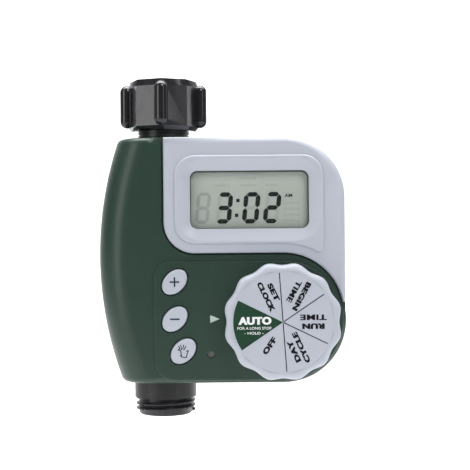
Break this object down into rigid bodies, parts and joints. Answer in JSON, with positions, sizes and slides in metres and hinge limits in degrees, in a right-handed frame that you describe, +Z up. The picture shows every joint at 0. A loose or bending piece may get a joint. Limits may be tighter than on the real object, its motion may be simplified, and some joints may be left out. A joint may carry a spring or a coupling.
{
  "type": "drip irrigation timer",
  "caption": "Hose-tap watering timer: swivel nut above a green case with a grey display cover, push buttons and a scalloped dial, and a threaded hose outlet below.",
  "frame": {"origin": "centre of the inlet nut's mouth, on the pipe axis", "axes": "+Z up along the pipe towards the tap, the display and dial face -Y, +X to the right of the display as seen by the user"},
  "size_m": [0.11, 0.0556, 0.1516],
  "materials": {
    "green_shell": "dark green ABS with a fine satin grain",
    "grey_cover": "cool light grey ABS, satin",
    "grey_dial": "cool light grey ABS, satin",
    "grey_button": "grey keys with printed marks",
    "dial_print": "printed label film, one green sector",
    "pointer_print": "pale print",
    "black_nut": "glossy black nylon",
    "black_pipe": "black glass-filled nylon",
    "white_nylon": "natural nylon",
    "black_rubber": "black rubber",
    "silicone": "translucent grey silicone",
    "steel": "zinc-plated steel",
    "spring_steel": "stainless spring wire",
    "mesh_steel": "stainless mesh",
    "brass": "brass, gilt contacts",
    "lens": "clear polycarbonate window",
    "lcd_glass": "reflective liquid crystal glass",
    "board": "green solder mask",
    "chip": "black epoxy",
    "socket": "cream nylon",
    "copper": "enamelled copper winding",
    "magnet": "nickel-plated magnet",
    "lead_wire": "insulated wire",
    "cell_wrap": "plain printed cell wrap",
    "green_tray": "dark green ABS"
  },
  "bodies": {
    "case": {"rear_shell": "green_shell", "front_shell": "green_shell", "display_cover": "grey_cover", "shell_seal": "black_rubber", "case_screws": "steel", "dial_pointer": "pointer_print", "lcd_lens": "lens", "lcd_panel": "lcd_glass", "lcd_frame": "chip", "zebra_strip": "silicone", "main_board": "board", "board_screws": "steel", "board_chips": "chip", "board_sockets": "socket", "plus_dome": "silicone", "minus_dome": "silicone", "manual_dome": "silicone", "reset_dome": "silicone", "dial_seal": "black_rubber", "contact_pads": "brass", "detent_spring": "spring_steel", "retaining_ring": "spring_steel", "inlet_washer": "black_rubber", "inlet_screen": "mesh_steel", "valve_body": "black_pipe", "valve_bonnet": "black_pipe", "bonnet_screws": "steel", "diaphragm": "black_rubber", "poppet_spring": "spring_steel", "coil_bobbin": "white_nylon", "coil_winding": "copper", "coil_yoke": "steel", "plunger_spring": "spring_steel", "fixed_core": "steel", "latch_magnet": "magnet", "coil_leads": "lead_wire", "bay_blades": "brass", "battery_leads": "lead_wire"},
    "inlet_nut": {"inlet_nut": "black_nut"},
    "dial": {"dial_knob": "grey_dial", "dial_label": "dial_print", "dial_shaft": "white_nylon", "dial_clip": "spring_steel", "dial_rotor": "white_nylon", "wiper_contact": "brass"},
    "plus_button": {"plus_button": "grey_button"},
    "minus_button": {"minus_button": "grey_button"},
    "manual_button": {"manual_button": "grey_button"},
    "reset_pin": {"reset_pin": "silicone"},
    "plunger": {"plunger": "steel", "pilot_tip": "black_rubber"},
    "poppet": {"diaphragm_poppet": "white_nylon"},
    "battery_tray": {"battery_tray": "green_tray", "battery_cell_upper": "cell_wrap", "battery_cell_lower": "cell_wrap", "cell_springs": "spring_steel", "cell_plates": "spring_steel", "tray_seal": "black_rubber", "tray_contacts": "brass"}
  },
  "joints": [
    {"name": "nut_swivel", "type": "hinge", "parent": "case", "child": "inlet_nut", "pos_m": [0, 0, -0.01], "axis": [0, 0, 1], "continuous": true},
    {"name": "dial_turn", "type": "hinge", "parent": "case", "child": "dial", "pos_m": [0.0527, 0, -0.108], "axis": [0, -1, 0], "continuous": true, "deforming": ["detent_spring"]},
    {"name": "plus_press", "type": "slide", "parent": "case", "child": "plus_button", "axis": [0, 1, 0], "range_m": [0, 0.0008], "stiffness_N_per_m": 900, "springref_m": -0.0008, "deforming": ["plus_dome"]},
    {"name": "minus_press", "type": "slide", "parent": "case", "child": "minus_button", "axis": [0, 1, 0], "range_m": [0, 0.0008], "stiffness_N_per_m": 900, "springref_m": -0.0008, "deforming": ["minus_dome"]},
    {"name": "manual_press", "type": "slide", "parent": "case", "child": "manual_button", "axis": [0, 1, 0], "range_m": [0, 0.0008], "stiffness_N_per_m": 900, "springref_m": -0.0008, "deforming": ["manual_dome"]},
    {"name": "reset_pin_press", "type": "slide", "parent": "case", "child": "reset_pin", "axis": [0, 1, 0], "range_m": [0, 0.0006], "stiffness_N_per_m": 900, "springref_m": -0.0008, "deforming": ["reset_dome"]},
    {"name": "tray_slide", "type": "slide", "parent": "case", "child": "battery_tray", "axis": [0, 1, 0], "range_m": [0, 0.03]},
    {"name": "plunger_lift", "type": "slide", "parent": "case", "child": "plunger", "axis": [1, 0, 0], "range_m": [0, 0.0015], "stiffness_N_per_m": 150, "springref_m": -0.004, "deforming": ["plunger_spring"]},
    {"name": "poppet_lift", "type": "slide", "parent": "case", "child": "poppet", "axis": [1, 0, 0], "range_m": [0, 0.0015], "stiffness_N_per_m": 100, "springref_m": -0.002, "deforming": ["poppet_spring", "diaphragm"]}
  ],
  "couplings": [
    {"joint": "poppet_lift", "follows": "plunger_lift", "ratio": 1}
  ]
}
